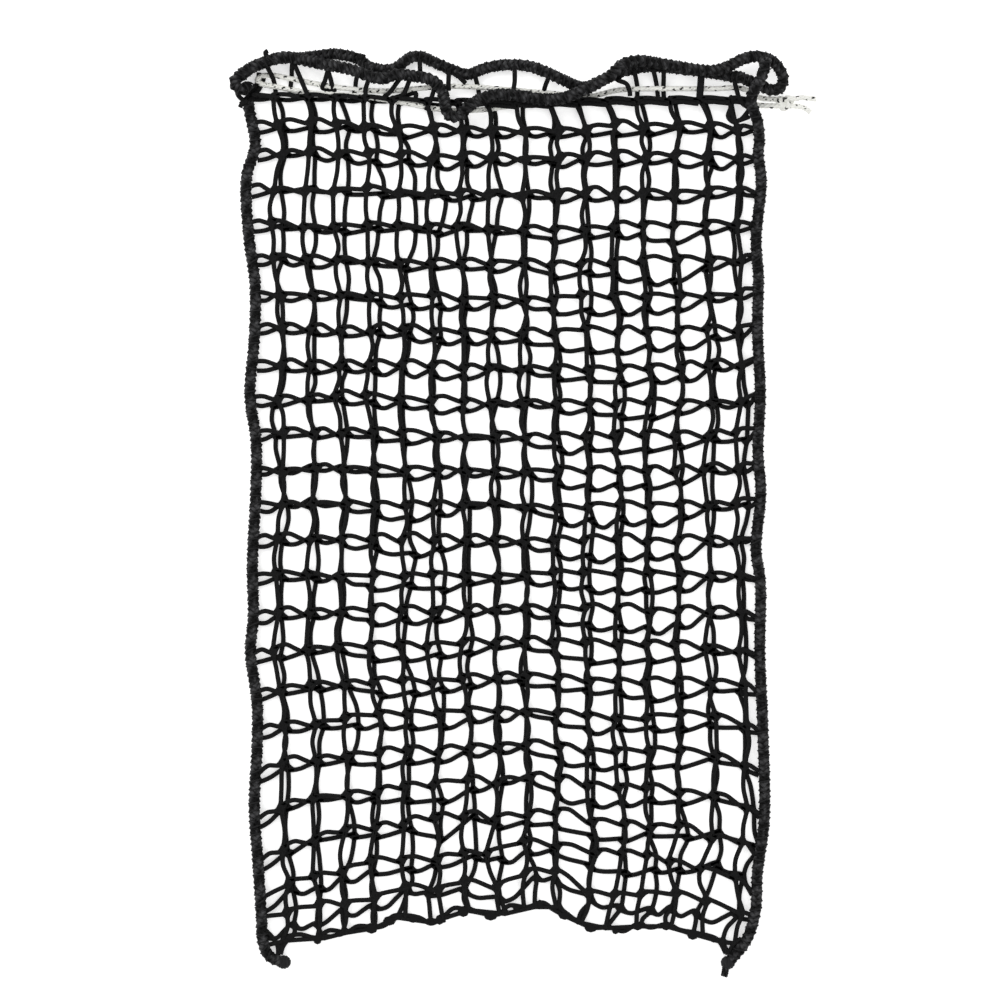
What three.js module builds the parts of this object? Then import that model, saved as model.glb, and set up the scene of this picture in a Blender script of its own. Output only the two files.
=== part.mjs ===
// Hay net: a knotless square-mesh net bag, folded at the bottom, laid flat with its mouth towards +Y.
// Two net panels hang between two border ropes, a longer rope runs loosely round the mouth, and a
// light drawstring passes between the panels below it and is knotted beyond the right border rope.
// Millimetres, +Z up. The origin is the middle of the bag's underside.
import * as THREE from 'three';

// Driving dimensions
const TWINE = 4;                 // net twine, across
const ROPE = 13.2;               // border ropes and mouth rope, across
const CORD = 6;                  // drawstring, across
const GAP = 0.3;                 // clearance between neighbouring pieces
const COLUMNS = 9;               // cells across a panel; one cell stands for about two meshes
const ROWS_BELOW = 11;           // cells down a panel below its top row, two meshes high each
const MESH_ROWS = 24;            // meshes down the real panel; the top row is one mesh high
const ROPE_SIDES = 10;
const CORD_SIDES = 8;
const TIE_SIDES = 6;

// Heights of the layers, lowest first
const FLOOR_ROPE_Z = ROPE / 2 + 0.6;                   // a rope that lies on the ground
const FRONT_NET_Z = TWINE + 0.6;                       // underside of the front panel
const CORD_Z = TWINE + 0.4 + CORD / 2;                 // centre of the drawstring
const TAIL_Z = CORD_Z - 2;                             // the tails come down from the knot
const TAIL_END_Z = CORD / 2 + 0.4;                     // and end on the ground
const BAND_Z = CORD_Z + CORD / 2 + 0.4;                // underside of the front panel's top row
const OVER_CORD_Z = CORD_Z + CORD / 2 + GAP + ROPE / 2;
const OVER_BAND_Z = BAND_Z + TWINE + GAP + ROPE / 2;
const OVER_ROPE_Z = OVER_CORD_Z + ROPE + GAP;

// Routes, as the pieces lie
const LEFT_ROPE = [
  [-273, 429.5, FLOOR_ROPE_Z],
  [-270.5, 416, FLOOR_ROPE_Z],
  [-265.5, 385, FLOOR_ROPE_Z],
  [-274.5, 352, FLOOR_ROPE_Z],
  [-272.5, 292, FLOOR_ROPE_Z],
  [-265.5, 237, FLOOR_ROPE_Z],
  [-266.5, 181, FLOOR_ROPE_Z],
  [-271, 123, FLOOR_ROPE_Z],
  [-264.5, 73, FLOOR_ROPE_Z],
  [-265, 18, FLOOR_ROPE_Z],
  [-268.5, -55, FLOOR_ROPE_Z],
  [-267.5, -110, FLOOR_ROPE_Z],
  [-270.5, -147, FLOOR_ROPE_Z],
  [-263.5, -201, FLOOR_ROPE_Z],
  [-263.5, -246, FLOOR_ROPE_Z],
  [-266.5, -310, FLOOR_ROPE_Z],
  [-263, -364, FLOOR_ROPE_Z],
  [-259, -424, FLOOR_ROPE_Z],
  [-257.5, -451, FLOOR_ROPE_Z],
  [-252, -465, FLOOR_ROPE_Z],
  [-244, -470.5, FLOOR_ROPE_Z],
];
const RIGHT_ROPE = [
  [268.5, 472, OVER_ROPE_Z],
  [266.5, 460, OVER_ROPE_Z],
  [262.5, 449.5, OVER_ROPE_Z],
  [257, 441, OVER_ROPE_Z],
  [254, 430.5, 23],
  [257.5, 419.5, OVER_CORD_Z],
  [262, 407, 12],
  [264, 392, FLOOR_ROPE_Z],
  [263, 375, FLOOR_ROPE_Z],
  [266, 347.5, FLOOR_ROPE_Z],
  [260.5, 285.5, FLOOR_ROPE_Z],
  [263, 248.5, FLOOR_ROPE_Z],
  [262, 191.5, FLOOR_ROPE_Z],
  [265, 124, FLOOR_ROPE_Z],
  [262.5, 64, FLOOR_ROPE_Z],
  [265.5, 21, FLOOR_ROPE_Z],
  [260.5, -40, FLOOR_ROPE_Z],
  [265, -73, FLOOR_ROPE_Z],
  [264.5, -149, FLOOR_ROPE_Z],
  [267.5, -224, FLOOR_ROPE_Z],
  [269, -325, FLOOR_ROPE_Z],
  [262, -378, FLOOR_ROPE_Z],
  [260, -418, FLOOR_ROPE_Z],
  [252.5, -445.5, FLOOR_ROPE_Z],
  [244.5, -458.5, FLOOR_ROPE_Z],
  [238, -466, FLOOR_ROPE_Z],
];
const FRONT_MOUTH_ROPE = [
  [-281, 441.5, OVER_BAND_Z],
  [-291.7, 450, OVER_BAND_Z],
  [-283, 457, OVER_BAND_Z],
  [-270.5, 463, OVER_BAND_Z],
  [-253, 470.5, OVER_BAND_Z],
  [-233, 475.5, OVER_BAND_Z],
  [-203.5, 470, OVER_BAND_Z],
  [-163, 462, OVER_BAND_Z],
  [-145.5, 455.5, OVER_BAND_Z],
  [-129.5, 453, OVER_BAND_Z],
  [-118, 457, OVER_BAND_Z],
  [-98, 455.5, OVER_BAND_Z],
  [-79, 451, OVER_BAND_Z],
  [-69.5, 441, OVER_BAND_Z],
  [-66, 428, OVER_BAND_Z],
  [-62, 415, OVER_BAND_Z],
  [-52, 413.5, OVER_BAND_Z],
  [-42, 423, OVER_BAND_Z],
  [-28, 432, OVER_BAND_Z],
  [-9.5, 436.5, OVER_BAND_Z],
  [12.5, 435, OVER_BAND_Z],
  [35, 431.5, OVER_BAND_Z],
  [57, 432, 25],
  [75, 438, OVER_ROPE_Z],
  [93, 446.5, OVER_ROPE_Z],
  [107, 455, OVER_ROPE_Z + 0.6],
  [119.5, 466.5, 29],
  [137, 471.5, 23],
  [163, 468, OVER_BAND_Z],
  [201.5, 462, OVER_BAND_Z],
  [215.5, 461.5, OVER_BAND_Z],
  [229.5, 465.5, OVER_BAND_Z],
  [243, 472.5, OVER_BAND_Z - 1],
  [260.5, 477, OVER_CORD_Z],
  [275, 473, OVER_CORD_Z],
  [284, 464, OVER_CORD_Z],
  [288, 453, OVER_CORD_Z],
  [284.5, 444, OVER_CORD_Z],
  [276.5, 441.5, OVER_CORD_Z],
  [266, 445.5, OVER_CORD_Z],
  [257.5, 449.4, OVER_CORD_Z],
  [251.3, 451.8, OVER_CORD_Z],
];
const BACK_MOUTH_ROPE = [
  [249.7, 452.4, OVER_CORD_Z],
  [243, 454.9, OVER_CORD_Z],
  [233, 457, 10.5],
  [217, 460.5, FLOOR_ROPE_Z],
  [184, 465, FLOOR_ROPE_Z],
  [150, 468, FLOOR_ROPE_Z],
  [129, 464.5, 11],
  [112, 458, OVER_CORD_Z],
  [96, 451, OVER_CORD_Z],
  [79, 444.5, OVER_CORD_Z],
  [57, 452.5, OVER_CORD_Z],
  [42, 459.5, OVER_CORD_Z],
  [27.5, 466, 12],
  [12.5, 469.5, FLOOR_ROPE_Z],
  [-9.5, 469, FLOOR_ROPE_Z],
  [-24, 466, FLOOR_ROPE_Z],
  [-43, 459.5, FLOOR_ROPE_Z],
  [-56.5, 463.5, FLOOR_ROPE_Z],
  [-79, 473, FLOOR_ROPE_Z],
  [-90.5, 478, FLOOR_ROPE_Z],
  [-101, 478, FLOOR_ROPE_Z],
  [-110, 472, FLOOR_ROPE_Z],
  [-119, 466, FLOOR_ROPE_Z],
  [-133, 464.5, FLOOR_ROPE_Z],
  [-147, 468.5, FLOOR_ROPE_Z],
  [-156.5, 475.5, FLOOR_ROPE_Z],
  [-170, 479.5, FLOOR_ROPE_Z],
  [-183, 481, FLOOR_ROPE_Z],
  [-197, 479.5, FLOOR_ROPE_Z],
  [-217, 477, FLOOR_ROPE_Z],
  [-238, 476.5, FLOOR_ROPE_Z],
  [-256, 472.5, FLOOR_ROPE_Z],
  [-271, 465.5, FLOOR_ROPE_Z],
  [-281, 457, FLOOR_ROPE_Z],
];
const FOLD_Z = 4.4;
const FOLD_TWINE = [
  [-239, -462, FOLD_Z],
  [-232, -449, FOLD_Z],
  [-201, -447, FOLD_Z],
  [-169, -441, FOLD_Z],
  [-130, -434, FOLD_Z],
  [-80, -432, FOLD_Z],
  [-41, -421.5, FOLD_Z],
  [-10.5, -422.5, FOLD_Z],
  [18.5, -415, FOLD_Z],
  [36, -410, FOLD_Z],
  [49, -418, FOLD_Z],
  [76.5, -430.5, FOLD_Z],
  [118, -441, FOLD_Z],
  [137, -433, FOLD_Z],
  [146.5, -437, FOLD_Z],
  [161, -432, FOLD_Z],
  [180, -438.5, FOLD_Z],
  [208.5, -444.5, FOLD_Z],
  [223, -449.5, FOLD_Z],
  [228, -462, FOLD_Z],
];
const DRAWSTRING = [
  [278.5, 433.6, CORD_Z],
  [265, 435, CORD_Z],
  [251, 443, CORD_Z],
  [241, 445.5, CORD_Z],
  [219, 444.5, CORD_Z],
  [171, 444.5, CORD_Z],
  [116, 443, CORD_Z],
  [86, 436.5, CORD_Z],
  [64, 438, CORD_Z],
  [20, 442, CORD_Z],
  [-57, 447, CORD_Z],
  [-129.5, 442, CORD_Z],
  [-157, 443.5, CORD_Z],
  [-190, 447.5, CORD_Z],
  [-230.5, 455.5, CORD_Z],
  [-247, 458.5, CORD_Z],
  [-259, 457.5, CORD_Z],
  [-263.5, 453.5, CORD_Z],
  [-260, 450, CORD_Z],
  [-249, 447.5, CORD_Z],
  [-209, 440.5, CORD_Z],
  [-150, 436, CORD_Z],
  [-105, 429, CORD_Z],
  [-80, 424, CORD_Z],
  [-57, 421.5, CORD_Z],
  [-25, 422.5, CORD_Z],
  [12.5, 427.5, CORD_Z],
  [80, 429, CORD_Z],
  [180, 432, CORD_Z],
  [224, 432.5, CORD_Z],
  [245, 431, CORD_Z],
  [263, 427.2, CORD_Z],
  [278.5, 426.4, CORD_Z],
];
const UPPER_TAIL = [[302.8, 434, CORD_Z], [309, 435.5, TAIL_Z], [324, 434, TAIL_END_Z]];
const LOWER_TAIL = [[302.8, 426, CORD_Z], [311.5, 424.5, TAIL_Z], [318, 420.5, TAIL_END_Z]];
const TOP_EDGE = [[-262, 437], [-150, 435.5], [-60, 431], [20, 429.5], [120, 432.5], [262, 434]];

// Short twines that tie the panels' top rows to the mouth rope, by their place across the bag
const FRONT_TIES_X = [-228, -206, -184, -160, -134, -100, 127, 144, 162, 182, 202, 222];
const BACK_TIES_X = [-200, -172, -92, -68, -32, 30, 158, 190];

const netMaterial = () => new THREE.MeshStandardMaterial({ color: 0x1a1a1b, roughness: 0.9, metalness: 0 });
const ropeMaterial = () => new THREE.MeshStandardMaterial({ color: 0x2a2a2b, roughness: 0.75, metalness: 0 });
const cordMaterial = () => new THREE.MeshStandardMaterial({ color: 0xdcdcd4, roughness: 0.7, metalness: 0 });

const group = new THREE.Group();

function add(name, geometry, material) {
  const mesh = new THREE.Mesh(geometry, material);
  mesh.name = name;
  group.add(mesh);
  return mesh;
}

// A smooth curve through a route
function curveThrough(route) {
  return new THREE.CatmullRomCurve3(route.map((p) => new THREE.Vector3(...p)), false, 'centripetal');
}

// A round tube of even thickness along a route
function tube(route, diameter, sides, steps) {
  const section = [];
  for (let k = 0; k < sides; k += 1) {
    const turn = (2 * Math.PI * k) / sides;
    section.push(new THREE.Vector2(Math.cos(turn), Math.sin(turn)).multiplyScalar(diameter / 2));
  }
  const settings = { steps, extrudePath: curveThrough(route), bevelEnabled: false };
  return new THREE.ExtrudeGeometry(new THREE.Shape(section), settings);
}

// Value of one coordinate where a route passes a value of another, on straight lines between its points
function along(route, from, to, value) {
  for (let k = 1; k < route.length; k += 1) {
    const a = route[k - 1];
    const b = route[k];
    if ((a[from] - value) * (b[from] - value) <= 0 && a[from] !== b[from]) {
      return a[to] + ((value - a[from]) / (b[from] - a[from])) * (b[to] - a[to]);
    }
  }
  const ends = [route[0], route[route.length - 1]];
  ends.sort((p, q) => Math.abs(p[from] - value) - Math.abs(q[from] - value));
  return ends[0][to];
}

// How far the middle of a panel's edge strand stays from a border rope's middle, more where the rope slants
function roomBeside(rope, y) {
  const reach = 6;
  const slant = (along(rope, 1, 0, y + reach) - along(rope, 1, 0, y - reach)) / (2 * reach);
  return (ROPE / 2 + TWINE / 2 + 3.4) * Math.hypot(1, slant);
}

// Where a strand across and a strand down meet: u runs across from the left, v up from the fold.
// The strands across follow the fold's bow near it and are even higher up.
const EVEN_FOLD_Y = -430;
function crossing(u, v) {
  const foldRoom = TWINE + 5.5;
  const across = THREE.MathUtils.lerp(-258, 254, u);
  const fold = along(FOLD_TWINE, 0, 1, THREE.MathUtils.clamp(across, -232, 223)) + foldRoom;
  const bow = (fold - EVEN_FOLD_Y) * (1 - v) ** 3;
  const y = THREE.MathUtils.lerp(EVEN_FOLD_Y, along(TOP_EDGE, 0, 1, across), v) + bow;
  const left = along(LEFT_ROPE, 1, 0, y) + roomBeside(LEFT_ROPE, y);
  const right = along(RIGHT_ROPE, 1, 0, y) - roomBeside(RIGHT_ROPE, y);
  return new THREE.Vector2(THREE.MathUtils.lerp(left, right, u), y);
}

// Heights of the strands across, as shares of the panel: even cells, then one mesh at the top
const TOP_ROW = 1 / MESH_ROWS;
const ROW_SHARES = [];
for (let j = 0; j <= ROWS_BELOW; j += 1) {
  ROW_SHARES.push(((1 - TOP_ROW) * j) / ROWS_BELOW);
}
ROW_SHARES.push(1);

// One panel of netting: a flat lattice, its top row raised by topRise over the drawstring
function netPanel(underside, topRise) {
  const half = TWINE / 2;
  const node = (i, j) => crossing(i / COLUMNS, ROW_SHARES[j]);
  const offset = (i, j, dx, dy) => node(i, j).add(new THREE.Vector2(dx * half, dy * half));
  const rows = ROW_SHARES.length - 1;
  const outline = [];
  for (let i = 0; i <= COLUMNS; i += 1) {
    outline.push(offset(i, 0, i === 0 ? -1 : Math.sign(i - COLUMNS) + 1, -1));
  }
  for (let j = 1; j <= rows; j += 1) {
    outline.push(offset(COLUMNS, j, 1, j === rows ? 1 : 0));
  }
  for (let i = COLUMNS - 1; i >= 0; i -= 1) {
    outline.push(offset(i, rows, i === 0 ? -1 : 0, 1));
  }
  for (let j = rows - 1; j >= 1; j -= 1) {
    outline.push(offset(0, j, -1, 0));
  }
  const panel = new THREE.Shape(outline);
  for (let i = 0; i < COLUMNS; i += 1) {
    for (let j = 0; j < rows; j += 1) {
      const cell = [offset(i, j, 1, 1), offset(i, j + 1, 1, -1), offset(i + 1, j + 1, -1, -1), offset(i + 1, j, -1, 1)];
      panel.holes.push(new THREE.Path(cell));
    }
  }
  const geometry = new THREE.ExtrudeGeometry(panel, { depth: TWINE, bevelEnabled: false });
  const place = geometry.attributes.position;
  const low = node(COLUMNS / 2, rows - 2).y + half;
  const high = node(COLUMNS / 2, rows - 1).y - 3 * half;
  for (let k = 0; k < place.count; k += 1) {
    const share = THREE.MathUtils.clamp((place.getY(k) - low) / (high - low), 0, 1);
    place.setZ(k, place.getZ(k) + underside + topRise * share);
  }
  geometry.computeVertexNormals();
  return geometry;
}

// A straight twine from one place to near another
function tie(from, to, stopShort) {
  const start = new THREE.Vector3(...from);
  const way = new THREE.Vector3(...to).sub(start);
  const length = way.length() - stopShort;
  const geometry = new THREE.CylinderGeometry(TWINE * 0.45, TWINE * 0.45, length, TIE_SIDES);
  geometry.translate(0, length / 2, 0);
  const turn = new THREE.Quaternion().setFromUnitVectors(new THREE.Vector3(0, 1, 0), way.normalize());
  geometry.applyQuaternion(turn);
  geometry.translate(start.x, start.y, start.z);
  return geometry;
}

// The nearest place on a rope's centre line at a given place across the bag
function placeOnRope(route, x, above) {
  const curve = curveThrough(route);
  const points = curve.getSpacedPoints(600).filter((p) => p.y > above);
  return points.reduce((best, p) => (Math.abs(p.x - x) < Math.abs(best.x - x) ? p : best));
}

// Net panels and the twine that closes their fold
add('net_back', netPanel(0, 0), netMaterial());
add('net_front', netPanel(FRONT_NET_Z, BAND_Z - FRONT_NET_Z), netMaterial());
add('bottom_fold_twine', tube(FOLD_TWINE, TWINE, TIE_SIDES, 44), netMaterial());

// Border ropes, and the knobs and the cut stub at their lower ends
add('side_rope_left', tube(LEFT_ROPE, ROPE, ROPE_SIDES, 40), ropeMaterial());
add('side_rope_right', tube(RIGHT_ROPE, ROPE, ROPE_SIDES, 52), ropeMaterial());
const KNOB = { x: 7.8, y: 7.4, z: 7 };
for (const [name, x, y] of [['rope_end_knob_left', -235.6, -472.8], ['rope_end_knob_right', 231, -473.4]]) {
  const knob = new THREE.SphereGeometry(1, 12, 8);
  knob.scale(KNOB.x, KNOB.y, KNOB.z);
  add(name, knob, ropeMaterial()).position.set(x, y, KNOB.z + 0.2);
}
const STUB_LENGTH = 6;
const stub = add('rope_end_stub', new THREE.CylinderGeometry(4, 4, STUB_LENGTH, ROPE_SIDES), ropeMaterial());
stub.position.set(227.8, -484.2, KNOB.z + 0.2);
stub.rotation.z = -0.22;

// The mouth rope, above and below the mouth; the two lengths are sewn end to end
add('mouth_rope_front', tube(FRONT_MOUTH_ROPE, ROPE, ROPE_SIDES, 84), ropeMaterial());
add('mouth_rope_back', tube(BACK_MOUTH_ROPE, ROPE, ROPE_SIDES, 72), ropeMaterial());

// Ties from the top rows to the mouth rope: over the drawstring in front, under it behind
const TIE_START = TWINE / 2 + GAP + 1;
FRONT_TIES_X.forEach((x, k) => {
  const start = [x, along(TOP_EDGE, 0, 1, x) + TIE_START, BAND_Z + TWINE / 2];
  const end = placeOnRope(FRONT_MOUTH_ROPE, x, start[1]);
  const name = `mouth_tie_front_${String(k + 1).padStart(2, '0')}`;
  add(name, tie(start, end.toArray(), ROPE / 2 + GAP + 0.8), netMaterial());
});
BACK_TIES_X.forEach((x, k) => {
  const start = [x, along(TOP_EDGE, 0, 1, x) + TIE_START, TWINE / 2];
  const end = placeOnRope(BACK_MOUTH_ROPE, x, start[1]);
  const name = `mouth_tie_back_${String(k + 1).padStart(2, '0')}`;
  add(name, tie(start, [end.x, end.y, TWINE / 2], ROPE / 2 + GAP), netMaterial());
});

// The drawstring: out at the right, along both panels and round at the left; its knot and two tails
add('drawstring', tube(DRAWSTRING, CORD, CORD_SIDES, 76), cordMaterial());
const knot = new THREE.SphereGeometry(1, 12, 8);
knot.scale(11.5, 8.6, 5.6);
add('drawstring_knot', knot, cordMaterial()).position.set(290.6, 430, CORD_Z);
add('drawstring_tail_upper', tube(UPPER_TAIL, CORD, CORD_SIDES, 2), cordMaterial());
add('drawstring_tail_lower', tube(LOWER_TAIL, CORD, CORD_SIDES, 2), cordMaterial());

export default group;
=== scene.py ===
"""Builds the looks of a knotless hay net laid flat: twine panels, braided ropes, lacing and drawstring."""
import math
import random

import bpy
from bpy.props import FloatProperty, FloatVectorProperty, IntProperty, PointerProperty
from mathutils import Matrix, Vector, noise


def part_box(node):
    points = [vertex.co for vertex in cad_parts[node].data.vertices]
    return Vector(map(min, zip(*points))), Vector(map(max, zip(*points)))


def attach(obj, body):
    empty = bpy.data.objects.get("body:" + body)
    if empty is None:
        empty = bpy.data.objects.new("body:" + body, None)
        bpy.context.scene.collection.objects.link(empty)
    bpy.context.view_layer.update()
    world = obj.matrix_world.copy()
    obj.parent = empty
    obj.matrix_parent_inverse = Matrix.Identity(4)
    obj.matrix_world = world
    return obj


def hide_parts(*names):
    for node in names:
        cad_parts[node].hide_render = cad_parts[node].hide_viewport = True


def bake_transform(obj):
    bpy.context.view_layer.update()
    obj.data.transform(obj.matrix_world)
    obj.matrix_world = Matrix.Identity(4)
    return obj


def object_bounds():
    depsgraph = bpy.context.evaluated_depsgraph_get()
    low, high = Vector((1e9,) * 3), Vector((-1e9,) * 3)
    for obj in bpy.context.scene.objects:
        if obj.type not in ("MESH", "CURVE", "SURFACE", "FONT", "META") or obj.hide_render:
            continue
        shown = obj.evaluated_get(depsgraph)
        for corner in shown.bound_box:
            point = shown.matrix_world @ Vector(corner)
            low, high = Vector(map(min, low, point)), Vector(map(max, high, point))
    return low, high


bl_info = {
    "name": "Hay Net",
    "version": (1, 0, 0),
    "blender": (4, 5, 0),
    "location": "View3D > Sidebar > Hay Net",
    "description": "Makes a flat knotless hay net with roped edges and a drawstring round the packed frame",
    "category": "Add Mesh",
}

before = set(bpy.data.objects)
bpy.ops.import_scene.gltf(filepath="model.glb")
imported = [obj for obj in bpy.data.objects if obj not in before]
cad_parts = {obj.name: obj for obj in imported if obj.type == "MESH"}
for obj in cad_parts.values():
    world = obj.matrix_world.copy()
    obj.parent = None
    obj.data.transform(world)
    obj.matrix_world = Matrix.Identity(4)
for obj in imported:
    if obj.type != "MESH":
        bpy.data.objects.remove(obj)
cad_low, cad_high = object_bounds()

MM = 0.001
CORD_BODY = "drawstring"

# Height of a border rope's middle on the floor, in millimetres, and of the front twine over the drawstring
FLOOR_ROPE_Z = 7.2
BAND_TOP_Z = 12.8 * MM

# Places of a panel's strands, in millimetres
LEFT_EDGE = -258
PANEL_WIDTH = 512
EVEN_BOTTOM = -430
FOLD_FROM, FOLD_TO = -236, 220
INTO_ROPE = 4.5
LEFT_MARGIN = 27
RIGHT_MARGIN = 21
FOLD_BACK_DROP = 13
# The top row is doubled to the right of this column
DOUBLED_FROM = 7
STRAND_STEP = 2.1 * MM
# The tracer strand is coloured only where it lies this far up over the others, from -1 to 1
TRACER_SHOWS_ABOVE = 0.35
TWINE_BRAID_LENGTH = 0.0062
PATH_STEP = 2 * MM

# Routes of the ropes and the drawstring, in millimetres across, along and up
LEFT_ROPE = [
    (-273, 429.5, 7.2), (-270.5, 416, 7.2), (-265.5, 385, 7.2), (-274.5, 352, 7.2), (-272.5, 292, 7.2),
    (-265.5, 237, 7.2), (-266.5, 181, 7.2), (-271, 123, 7.2), (-264.5, 73, 7.2), (-265, 18, 7.2),
    (-268.5, -55, 7.2), (-267.5, -110, 7.2), (-270.5, -147, 7.2), (-263.5, -201, 7.2), (-263.5, -246, 7.2),
    (-266.5, -310, 7.2), (-263, -364, 7.2), (-259, -424, 7.2), (-257.5, -451, 7.2), (-252, -465, 7.2),
    (-244, -470.5, 7.2), (-235.6, -472.8, 7.2),
]
RIGHT_ROPE = [
    (268.5, 472, 30.8), (266.5, 460, 30.8), (262.5, 449.5, 30.8), (257, 441, 30.8), (254, 430.5, 23),
    (257.5, 419.5, 17.3), (262, 407, 12), (264, 392, 7.2), (263, 375, 7.2), (266, 347.5, 7.2),
    (260.5, 285.5, 7.2), (263, 248.5, 7.2), (262, 191.5, 7.2), (265, 124, 7.2), (262.5, 64, 7.2),
    (265.5, 21, 7.2), (260.5, -40, 7.2), (265, -73, 7.2), (264.5, -149, 7.2), (267.5, -224, 7.2),
    (269, -325, 7.2), (262, -378, 7.2), (260, -418, 7.2), (252.5, -445.5, 7.2), (244.5, -458.5, 7.2),
    (238, -466, 7.2), (232, -472.5, 7.2),
]
FRONT_MOUTH_ROPE = [
    (-272.5, 448, 10.5), (-275.5, 443.5, 15.5), (-279.5, 441.5, 20.5), (-286, 448.5, 21.7),
    (-280, 456.5, 21.7), (-270.5, 463, 21.7), (-253, 470.5, 21.7),
    (-233, 475.5, 21.7), (-203.5, 470, 21.7), (-163, 462, 21.7), (-145.5, 455.5, 21.7), (-129.5, 453, 21.7),
    (-118, 457, 21.7), (-98, 455.5, 21.7), (-79, 451, 21.7), (-69.5, 441, 21.7), (-66, 428, 21.7),
    (-62, 415, 21.7), (-52, 413.5, 21.7), (-42, 423, 21.7), (-28, 432, 21.7), (-9.5, 436.5, 21.7),
    (12.5, 435, 21.7), (35, 431.5, 21.7), (57, 432, 25), (75, 438, 30.8), (93, 446.5, 30.8),
    (107, 455, 31.4), (119.5, 466.5, 29), (137, 471.5, 23), (163, 468, 21.7), (201.5, 462, 21.7),
    (215.5, 461.5, 21.7), (229.5, 465.5, 21.7), (243, 472.5, 20.7), (260.5, 477, 17.3), (275, 473, 17.3),
    (284, 464, 17.3), (288, 453, 17.3), (284.5, 444, 17.3), (276.5, 441.5, 17.3), (266, 445.5, 17.3),
    (257.5, 449.4, 17.3), (251.3, 451.8, 17.3),
]
BACK_MOUTH_ROPE = [
    (249.7, 452.4, 17.3), (243, 454.9, 17.3), (233, 457, 10.5), (217, 460.5, 7.2), (184, 465, 7.2),
    (150, 468, 7.2), (129, 464.5, 11), (112, 458, 17.3), (96, 451, 17.3), (79, 444.5, 17.3),
    (57, 452.5, 17.3), (42, 459.5, 17.3), (27.5, 466, 12), (12.5, 469.5, 7.2), (-9.5, 469, 7.2),
    (-24, 466, 7.2), (-43, 459.5, 7.2), (-56.5, 463.5, 7.2), (-79, 473, 7.2), (-90.5, 478, 7.2),
    (-101, 478, 7.2), (-110, 472, 7.2), (-119, 466, 7.2), (-133, 464.5, 7.2), (-147, 468.5, 7.2),
    (-156.5, 475.5, 7.2), (-170, 479.5, 7.2), (-183, 481, 7.2), (-197, 479.5, 7.2), (-217, 477, 7.2),
    (-238, 476.5, 7.2), (-256, 472.5, 7.2), (-271, 465.5, 7.2), (-281, 457, 7.2),
]
FOLD_TWINE = [
    (-240.5, -464, 4.4), (-236, -449, 4.4), (-220, -444.2, 4.4), (-201.3, -447.5, 4.4), (-188, -440, 4.4),
    (-169.4, -441.7, 4.4), (-158, -435.6, 4.4), (-135.5, -436.6, 4.4), (-127, -433, 4.4), (-121, -425, 4.4),
    (-94, -426.3, 4.4), (-81, -432.8, 4.4), (-69.7, -427.2, 4.4), (-56.5, -416.5, 4.4), (-39.6, -419.7, 4.4),
    (-9.6, -423, 4.4), (1, -414, 4.4), (19.8, -415.5, 4.4), (36.7, -410.8, 4.4), (48, -418.3, 4.4),
    (72.4, -430.6, 4.4), (89.4, -437, 4.4), (108, -437, 4.4), (121.3, -440.9, 4.4), (136.4, -433.4, 4.4),
    (149.5, -437, 4.4), (168.4, -433.4, 4.4), (179.6, -439, 4.4), (198.4, -442.8, 4.4), (220, -449.4, 4.4),
    (229, -464, 4.4),
]
# Twine that ties the fold's two ends to the border ropes' ends
CORNER_TWINE = [
    [(-241.5, -466, 6.5), (-242, -457, 5), (-247, -448, 5), (-256, -438, 7)],
    [(-239, -465, 6.5), (-236.5, -457, 5), (-231, -449, 5)],
    [(231, -465, 6.5), (227.5, -456, 5), (221, -449, 4.4)],
    [(231.5, -465, 6.5), (236, -456, 6), (245, -448, 7)],
]
DRAWSTRING = [
    (278.5, 433.6, 7.4), (265, 435, 7.4), (251, 443, 7.4), (241, 445.5, 7.4), (219, 444.5, 7.4),
    (171, 444.5, 7.4), (116, 443, 7.4), (86, 436.5, 7.4), (64, 438, 7.4), (20, 442, 7.4), (-57, 447, 7.4),
    (-129.5, 442, 7.4), (-157, 443.5, 7.4), (-190, 447.5, 7.4), (-230.5, 455.5, 7.4), (-247, 458.5, 7.4),
    (-259, 457.5, 7.4), (-263.5, 453.5, 7.4), (-260, 450, 7.4), (-249, 447.5, 7.4), (-209, 440.5, 7.4),
    (-150, 436, 7.4), (-105, 429, 7.4), (-80, 424, 7.4), (-57, 421.5, 7.4), (-25, 422.5, 7.4),
    (12.5, 427.5, 7.4), (80, 429, 7.4), (180, 432, 7.4), (224, 432.5, 7.4), (245, 431, 7.4),
    (263, 427.2, 7.4), (278.5, 426.4, 7.4),
]
UPPER_TAIL = [(302.8, 434, 7.4), (309, 435.5, 5.4), (324, 434, 3.4)]
LOWER_TAIL = [(302.8, 426, 7.4), (311.5, 424.5, 5.4), (318, 420.5, 3.4)]
KNOT_CENTRE = (290.6, 430, 7.4)
TOP_EDGE = [(-262, 437), (-150, 435.5), (-60, 431), (20, 429.5), (120, 432.5), (262, 434)]

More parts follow.
